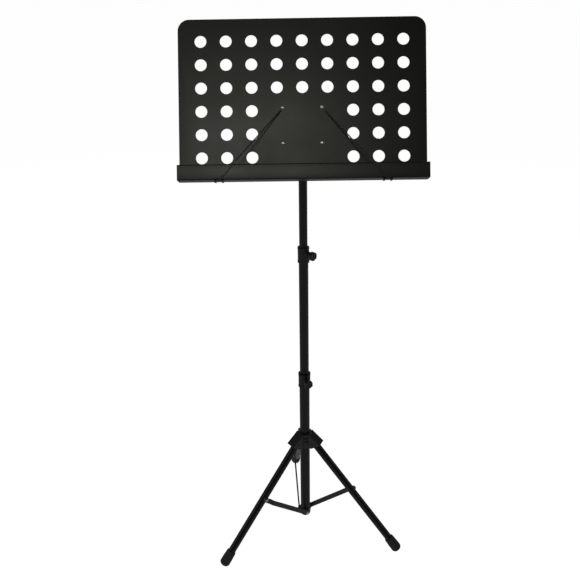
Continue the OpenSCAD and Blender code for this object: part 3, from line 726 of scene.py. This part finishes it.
dress(moulded_black, "black_plastic", "tilt_head")
dress(pad_nylon, "washer_nylon", "tilt_washers")
dress(zinc_plate, "steel", "tilt_bolt", "tilt_knob_nut")
TILT_KNOB = 0.036
NUT_POCKET = 0.0088
finger_knob("tilt_clamp_knob", "tilt_knob", "tilt_knob_turn", TILT_KNOB, "tilt_clamp", NUT_POCKET)

# ---- Desk bracket ----
# Folded from sheet steel in a U: a plate that lies against the desk, with two ears that run back
# to the tilt bolt. Four plain nuts hold it on.

desk_coat = black_finish(
    "desk_coat", (0.0055, 0.0052, 0.0052), (0.0085, 0.0081, 0.0081), (0.34, 0.41), 900.0, 0.00007,
    0.0004, 0.5, gloss=0.42, cloud_size=7.0, marks_amount=0.22, dust=0.03)
dress(desk_coat, "desk_paint", "desk_bracket")
dress(zinc_plate, "steel", "desk_nuts")

# ---- Desk ----
# One sheet of 1.2 mm steel: punched with rows of round holes, sheared with two round corners, then
# folded into a ledge and a front lip whose edge is hemmed back, and powder coated satin black.

tilt_axis = Vector(joint["desk_tilt"]["pos_m"])
desk_lean = math.radians(-joint["desk_tilt"]["range_deg"][0])
desk_frame = Matrix.Translation(tilt_axis) @ Matrix.Rotation(-desk_lean, 4, "X")
to_desk = desk_frame.inverted()
flat = [to_desk @ v.co for v in nodes["desk_panel"].data.vertices]
DESK_WIDTH = max(p.x for p in flat) - min(p.x for p in flat)
DESK_TOP = max(p.z for p in flat)
DESK_FOOT = min(p.z for p in flat)
LIP_FRONT = min(p.y for p in flat)
PANEL_REAR = max(p.y for p in flat)
SHEET = 0.0012
BEND = 0.0015
HEM_GAP = 0.0009
HEM_LENGTH = 0.007
LIP_TOP = max(p.z for p in flat if p.y < LIP_FRONT + 2 * (SHEET + HEM_GAP))
CORNER_RADIUS = 0.022
HOLE_DIAMETER = 0.023
HOLE_ACROSS = 0.049
HOLE_UP = 0.045
HOLE_COLUMNS = 9
HOLE_ROWS = 6
HOLE_TOP_MARGIN = 0.043
SCREW_HOLE = 0.0052
PUNCHED_EDGE = 0.00025

screw_points = [to_desk @ v.co for v in nodes["desk_screws"].data.vertices]
SCREW_HEAD = 0.008
SCREW_ACROSS = max(p.x for p in screw_points) - min(p.x for p in screw_points) - SCREW_HEAD
SCREW_UP = max(p.z for p in screw_points) - min(p.z for p in screw_points) - SCREW_HEAD


def folded_ledge():
    """The folded part of the sheet: ledge, lip and hem, open where it meets the flat panel."""
    mid = SHEET / 2
    turn_out = BEND + mid
    low = DESK_FOOT
    heel = Vector((0.0, PANEL_REAR - SHEET - BEND, low + SHEET + BEND))
    toe = Vector((0.0, LIP_FRONT + SHEET + BEND, low + SHEET + BEND))
    hem = Vector((0.0, LIP_FRONT + SHEET + HEM_GAP, LIP_TOP - SHEET - HEM_GAP))
    line = []

    def sweep(centre, radius, start, end, steps, outward):
        for k in range(steps + 1):
            angle = math.radians(start + (end - start) * k / steps)
            ray = Vector((0.0, math.cos(angle), math.sin(angle)))
            line.append((centre + ray * radius, ray * outward))

    sweep(heel, turn_out, 0, -90, 6, 1)
    sweep(toe, turn_out, -90, -180, 6, 1)
    sweep(hem, HEM_GAP + mid, 180, 0, 10, 1)
    line.append((hem + Vector((0.0, HEM_GAP + mid, -HEM_LENGTH)), Vector((0.0, 1.0, 0.0))))
    shape = bmesh.new()
    rows = []
    for point, out in line:
        rows.append([
            shape.verts.new((side * DESK_WIDTH / 2, *(point + out * reach)[1:]))
            for reach in (mid, -mid) for side in (-1, 1)])
    for first, second in zip(rows, rows[1:]):
        shape.faces.new((first[0], second[0], second[1], first[1]))
        shape.faces.new((first[2], first[3], second[3], second[2]))
        shape.faces.new((first[0], first[2], second[2], second[0]))
        shape.faces.new((first[1], second[1], second[3], first[3]))
    last = rows[-1]
    shape.faces.new((last[0], last[2], last[3], last[1]))
    mesh = bpy.data.meshes.new("folded_ledge")
    shape.to_mesh(mesh)
    shape.free()
    return mesh


# Cuts the flat panel with its holes and round corners, and joins it to the folded ledge.
perforated_sheet, given, result = new_tree("perforated_sheet", [
    ("Width", "Float"), ("Height", "Float"), ("Corner Radius", "Float"), ("Thickness", "Float"),
    ("Hole Diameter", "Float"), ("Spacing Across", "Float"), ("Spacing Up", "Float"),
    ("Columns", "Int"), ("Rows", "Int"), ("Hole Centre", "Float"), ("Screw Across", "Float"),
    ("Screw Up", "Float"), ("Screw Hole", "Float"), ("Screw Centre", "Float"), ("Base", "Vector"),
    ("Material", "Material")])


def sheet_link(source, target):
    perforated_sheet.links.new(source, target)


def figure(operation, *sockets):
    return maths(perforated_sheet, operation, *sockets)


def lift(geometry, height):
    """Geometry moved up the sheet by a height."""
    offset = add(perforated_sheet, "ShaderNodeCombineXYZ")
    sheet_link(height, offset.inputs["Y"])
    move = add(perforated_sheet, "GeometryNodeTransform")
    sheet_link(geometry, move.inputs["Geometry"])
    sheet_link(offset.outputs["Vector"], move.inputs["Translation"])
    return move.outputs["Geometry"]


def punches(columns, rows, across, up, diameter, selection, segments):
    """Circles on a grid of points."""
    grid = add(perforated_sheet, "GeometryNodeMeshGrid")
    for label, count, size, spacing in (("X", columns, "Size X", across), ("Y", rows, "Size Y", up)):
        if isinstance(count, int):
            grid.inputs["Vertices " + label].default_value = count
            sheet_link(spacing, grid.inputs[size])
        else:
            sheet_link(count, grid.inputs["Vertices " + label])
            sheet_link(figure("MULTIPLY", figure("SUBTRACT", count, 1.0), spacing), grid.inputs[size])
    circle = add(perforated_sheet, "GeometryNodeCurvePrimitiveCircle", {"Resolution": segments})
    sheet_link(figure("MULTIPLY", diameter, 0.5), circle.inputs["Radius"])
    row = add(perforated_sheet, "GeometryNodeInstanceOnPoints")
    sheet_link(grid.outputs["Mesh"], row.inputs["Points"])
    sheet_link(circle.outputs["Curve"], row.inputs["Instance"])
    if selection is not None:
        sheet_link(selection, row.inputs["Selection"])
    real = add(perforated_sheet, "GeometryNodeRealizeInstances")
    sheet_link(row.outputs["Instances"], real.inputs["Geometry"])
    return real.outputs["Geometry"]


place = add(perforated_sheet, "ShaderNodeSeparateXYZ")
sheet_link(add(perforated_sheet, "GeometryNodeInputPosition").outputs["Position"], place.inputs["Vector"])
outline = add(perforated_sheet, "GeometryNodeCurvePrimitiveQuadrilateral")
sheet_link(given.outputs["Width"], outline.inputs["Width"])
sheet_link(given.outputs["Height"], outline.inputs["Height"])
rounded = add(perforated_sheet, "GeometryNodeFilletCurve", {"Count": 12}, mode="POLY")
sheet_link(outline.outputs["Curve"], rounded.inputs["Curve"])
is_top = figure("GREATER_THAN", place.outputs["Y"], 0.0)
sheet_link(figure("MULTIPLY", is_top, given.outputs["Corner Radius"]), rounded.inputs["Radius"])
sideways = figure("ABSOLUTE", place.outputs["X"])
outside = figure("GREATER_THAN", sideways, figure("MULTIPLY", given.outputs["Spacing Across"], 1.5))
punched = figure("MAXIMUM", outside, is_top)
holes = punches(
    given.outputs["Columns"], given.outputs["Rows"], given.outputs["Spacing Across"],
    given.outputs["Spacing Up"], given.outputs["Hole Diameter"], punched, 48)
screw_holes = punches(
    2, 2, given.outputs["Screw Across"], given.outputs["Screw Up"], given.outputs["Screw Hole"], None, 20)
cut = add(perforated_sheet, "GeometryNodeJoinGeometry")
for line in (
        rounded.outputs["Curve"], lift(holes, given.outputs["Hole Centre"]),
        lift(screw_holes, given.outputs["Screw Centre"])):
    sheet_link(line, cut.inputs["Geometry"])
blank = add(perforated_sheet, "GeometryNodeFillCurve", mode="NGONS")
sheet_link(cut.outputs["Geometry"], blank.inputs["Curve"])
thick = add(perforated_sheet, "GeometryNodeExtrudeMesh", {"Individual": False}, mode="FACES")
sheet_link(blank.outputs["Mesh"], thick.inputs["Mesh"])
sheet_link(given.outputs["Thickness"], thick.inputs["Offset Scale"])
under = add(perforated_sheet, "GeometryNodeFlipFaces")
sheet_link(blank.outputs["Mesh"], under.inputs["Mesh"])
plate = add(perforated_sheet, "GeometryNodeJoinGeometry")
sheet_link(thick.outputs["Mesh"], plate.inputs["Geometry"])
sheet_link(under.outputs["Mesh"], plate.inputs["Geometry"])
foot_line = figure("MULTIPLY_ADD", given.outputs["Height"], -0.5, 0.0001)
opened = add(perforated_sheet, "GeometryNodeDeleteGeometry", domain="FACE")
sheet_link(plate.outputs["Geometry"], opened.inputs["Geometry"])
sheet_link(figure("LESS_THAN", place.outputs["Y"], foot_line), opened.inputs["Selection"])
upright = add(perforated_sheet, "GeometryNodeTransform", {"Rotation": (math.pi / 2, 0.0, 0.0)})
sheet_link(opened.outputs["Geometry"], upright.inputs["Geometry"])
sheet_link(given.outputs["Base"], upright.inputs["Translation"])
whole = add(perforated_sheet, "GeometryNodeJoinGeometry")
sheet_link(upright.outputs["Geometry"], whole.inputs["Geometry"])
sheet_link(given.outputs["Geometry"], whole.inputs["Geometry"])
welded = add(perforated_sheet, "GeometryNodeMergeByDistance", {"Distance": 0.00002})
sheet_link(whole.outputs["Geometry"], welded.inputs["Geometry"])
solid = add(perforated_sheet, "GeometryNodeRealizeInstances")
sheet_link(welded.outputs["Geometry"], solid.inputs["Geometry"])
coat = add(perforated_sheet, "GeometryNodeSetMaterial")
sheet_link(solid.outputs["Geometry"], coat.inputs["Geometry"])
sheet_link(given.outputs["Material"], coat.inputs["Material"])
sheet_link(coat.outputs["Geometry"], result.inputs["Geometry"])

PANEL_FOOT = DESK_FOOT + BEND + SHEET
PANEL_HEIGHT = DESK_TOP - PANEL_FOOT
PANEL_MIDDLE = PANEL_FOOT + PANEL_HEIGHT / 2
HOLES_MIDDLE = DESK_TOP - HOLE_TOP_MARGIN - (HOLE_ROWS - 1) * HOLE_UP / 2
desk = grow("desk_sheet", folded_ledge(), perforated_sheet, {
    "Width": DESK_WIDTH, "Height": PANEL_HEIGHT, "Corner Radius": CORNER_RADIUS, "Thickness": SHEET,
    "Hole Diameter": HOLE_DIAMETER, "Spacing Across": HOLE_ACROSS, "Spacing Up": HOLE_UP,
    "Columns": HOLE_COLUMNS, "Rows": HOLE_ROWS, "Hole Centre": HOLES_MIDDLE - PANEL_MIDDLE,
    "Screw Across": SCREW_ACROSS, "Screw Up": SCREW_UP, "Screw Hole": SCREW_HOLE,
    "Screw Centre": -PANEL_MIDDLE, "Base": (0.0, PANEL_REAR, PANEL_MIDDLE), "Material": desk_coat})
shape = bmesh.new()
shape.from_mesh(desk.data)
bmesh.ops.recalc_face_normals(shape, faces=shape.faces)
shape.to_mesh(desk.data)
shape.free()
desk.data.transform(desk_frame)
desk.data.shade_smooth()
desk.data.set_sharp_from_angle(angle=math.radians(35))
punched_edge = desk.modifiers.new("punched edge", "BEVEL")
punched_edge.width = PUNCHED_EDGE
punched_edge.segments = 2
punched_edge.limit_method = "ANGLE"
punched_edge.angle_limit = math.radians(50)
punched_edge.harden_normals = True
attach(desk, "desk")
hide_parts("desk_panel")

# ---- Desk screws ----
# Four zinc-plated pan-head screws with a cross recess. They go through the sheet and the bracket,
# and stand bright in the middle of the black desk.

PAN_HEAD = 0.004
PAN_RISE = 0.0024
PAN_SHANK = 0.0024
PAN_LENGTH = 0.008


def pan_head():
    """A pan head with a rounded rim, on its shank."""
    return [(0.0, -PAN_LENGTH), (PAN_SHANK * 0.8, -PAN_LENGTH), (PAN_SHANK, -PAN_LENGTH + 0.0005),
            (PAN_SHANK, 0.0), (PAN_HEAD * 0.96, 0.0), (PAN_HEAD, 0.0003), (PAN_HEAD, 0.0009),
            (PAN_HEAD * 0.97, 0.0013), (PAN_HEAD * 0.88, 0.0017), (PAN_HEAD * 0.72, 0.0020),
            (PAN_HEAD * 0.5, 0.00222), (PAN_HEAD * 0.25, 0.00235), (0.0, PAN_RISE)]


head_mesh = kept_mesh(lathe(pan_head(), 40), "pan_head")
head = bpy.data.objects.new("pan_head", head_mesh)
scene.collection.objects.link(head)
RECESS_TOP = 0.0046
RECESS_FOOT = 0.0018
RECESS_SLOT = 0.00085
RECESS_DEPTH = 0.0024
RECESS_MIDDLE = 0.0018
cross = bmesh.new()
for wing in (Matrix.Identity(4), Matrix.Rotation(math.pi / 2, 4, "Z")):
    blade = bmesh.ops.create_cube(cross, size=1.0)["verts"]
    for vertex in blade:
        spread = RECESS_TOP if vertex.co.z > 0 else RECESS_FOOT
        vertex.co = wing @ Vector((
            vertex.co.x * spread, vertex.co.y * RECESS_SLOT, RECESS_MIDDLE + vertex.co.z * RECESS_DEPTH))
cutter_mesh = bpy.data.meshes.new("cross_recess")
cross.to_mesh(cutter_mesh)
cross.free()
cutter = bpy.data.objects.new("cross_recess", cutter_mesh)
scene.collection.objects.link(cutter)
recess = head.modifiers.new("cross recess", "BOOLEAN")
recess.operation = "DIFFERENCE"
recess.solver = "EXACT"
recess.use_self = True
recess.object = cutter
bpy.context.view_layer.update()
depsgraph = bpy.context.evaluated_depsgraph_get()
recessed = bpy.data.meshes.new_from_object(head.evaluated_get(depsgraph), depsgraph=depsgraph)
bpy.data.objects.remove(head)
bpy.data.objects.remove(cutter)
screw = spare("pan_head_screw", recessed)
front = -(desk_frame.to_3x3() @ Vector((0.0, 1.0, 0.0)))
places = [
    (desk_frame @ Vector((across * SCREW_ACROSS / 2, PANEL_REAR - SHEET, lifted * SCREW_UP / 2)), front)
    for across in (-1, 1) for lifted in (-1, 1)]
set_fasteners("desk_screw_row", screw, places, "desk", zinc_plate, ["desk_screws"], seed=3)

# ---- Page arms ----
# Each arm is a length of 2.2 mm black wire with a short bar across its foot, which turns in two
# little clips under the ledge. It swings up over the music to hold the pages.

wire_coat = black_finish(
    "wire_coat", (0.020, 0.020, 0.020), (0.030, 0.030, 0.030), (0.24, 0.34), 1500.0, 0.00002,
    0.0002, 0.3, gloss=0.6, worn=(0.25, 0.25, 0.25, 1.0))
WIRE_RADIUS = 0.0011
KNEE_BEND = 0.012
TIP_BALL = 0.00165
BAR_HALF = 0.009
LIP_CLEAR = 0.008

bent_wire, given, result = new_tree("bent_wire", [
    ("Wire Radius", "Float"), ("Bend Radius", "Float"), ("Material", "Material")])
path = add(bent_wire, "GeometryNodeMeshToCurve")
bends = add(bent_wire, "GeometryNodeFilletCurve", {"Count": 10}, mode="POLY")
ring = add(bent_wire, "GeometryNodeCurvePrimitiveCircle", {"Resolution": 14})
drawn = add(bent_wire, "GeometryNodeCurveToMesh", {"Fill Caps": True})
soft = add(bent_wire, "GeometryNodeSetShadeSmooth")
solid = add(bent_wire, "GeometryNodeRealizeInstances")
coat = add(bent_wire, "GeometryNodeSetMaterial")
bent_wire.links.new(given.outputs["Geometry"], path.inputs["Mesh"])
bent_wire.links.new(path.outputs["Curve"], bends.inputs["Curve"])
bent_wire.links.new(given.outputs["Bend Radius"], bends.inputs["Radius"])
bent_wire.links.new(given.outputs["Wire Radius"], ring.inputs["Radius"])
bent_wire.links.new(bends.outputs["Curve"], drawn.inputs["Curve"])
bent_wire.links.new(ring.outputs["Curve"], drawn.inputs["Profile Curve"])
bent_wire.links.new(drawn.outputs["Mesh"], soft.inputs["Geometry"])
bent_wire.links.new(soft.outputs["Geometry"], solid.inputs["Geometry"])
bent_wire.links.new(solid.outputs["Geometry"], coat.inputs["Geometry"])
bent_wire.links.new(given.outputs["Material"], coat.inputs["Material"])
bent_wire.links.new(coat.outputs["Geometry"], result.inputs["Geometry"])

for side in ("left", "right"):
    local = [to_desk @ v.co for v in nodes["page_arm_" + side].data.vertices]
    foot = to_desk @ Vector(joint["page_arm_" + side + "_flip"]["pos_m"])
    highest = max(local, key=lambda p: p.z)
    near_tip = [p for p in local if p.z > highest.z - 2 * TIP_BALL]
    tip = Vector((
        sum(p.x for p in near_tip) / len(near_tip), sum(p.y for p in near_tip) / len(near_tip),
        highest.z - TIP_BALL))
    over = LIP_TOP + LIP_CLEAR
    share = (over - foot.z) / (tip.z - foot.z)
    knee = Vector((foot.x + (tip.x - foot.x) * share, foot.y, over))
    line = [foot, knee, tip, foot - Vector((BAR_HALF, 0, 0)), foot + Vector((BAR_HALF, 0, 0))]
    base = bpy.data.meshes.new("page_arm_line")
    base.from_pydata([desk_frame @ p for p in line], [(0, 1), (1, 2), (3, 4)], [])
    arm = grow("page_arm_wire_" + side, base, bent_wire, {
        "Wire Radius": WIRE_RADIUS, "Bend Radius": KNEE_BEND, "Material": wire_coat})
    shape = bmesh.new()
    shape.from_mesh(arm.data)
    ball = Matrix.Translation(desk_frame @ tip)
    made = bmesh.ops.create_uvsphere(shape, u_segments=16, v_segments=10, radius=TIP_BALL, matrix=ball)
    for vertex in made["verts"]:
        for face in vertex.link_faces:
            face.smooth = True
    shape.to_mesh(arm.data)
    shape.free()
    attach(arm, "page_" + side)
    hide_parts("page_arm_" + side)

dress(tube_coat, "tube_paint", "page_arm_clips")

# ---- Last update ----

bpy.context.view_layer.update()
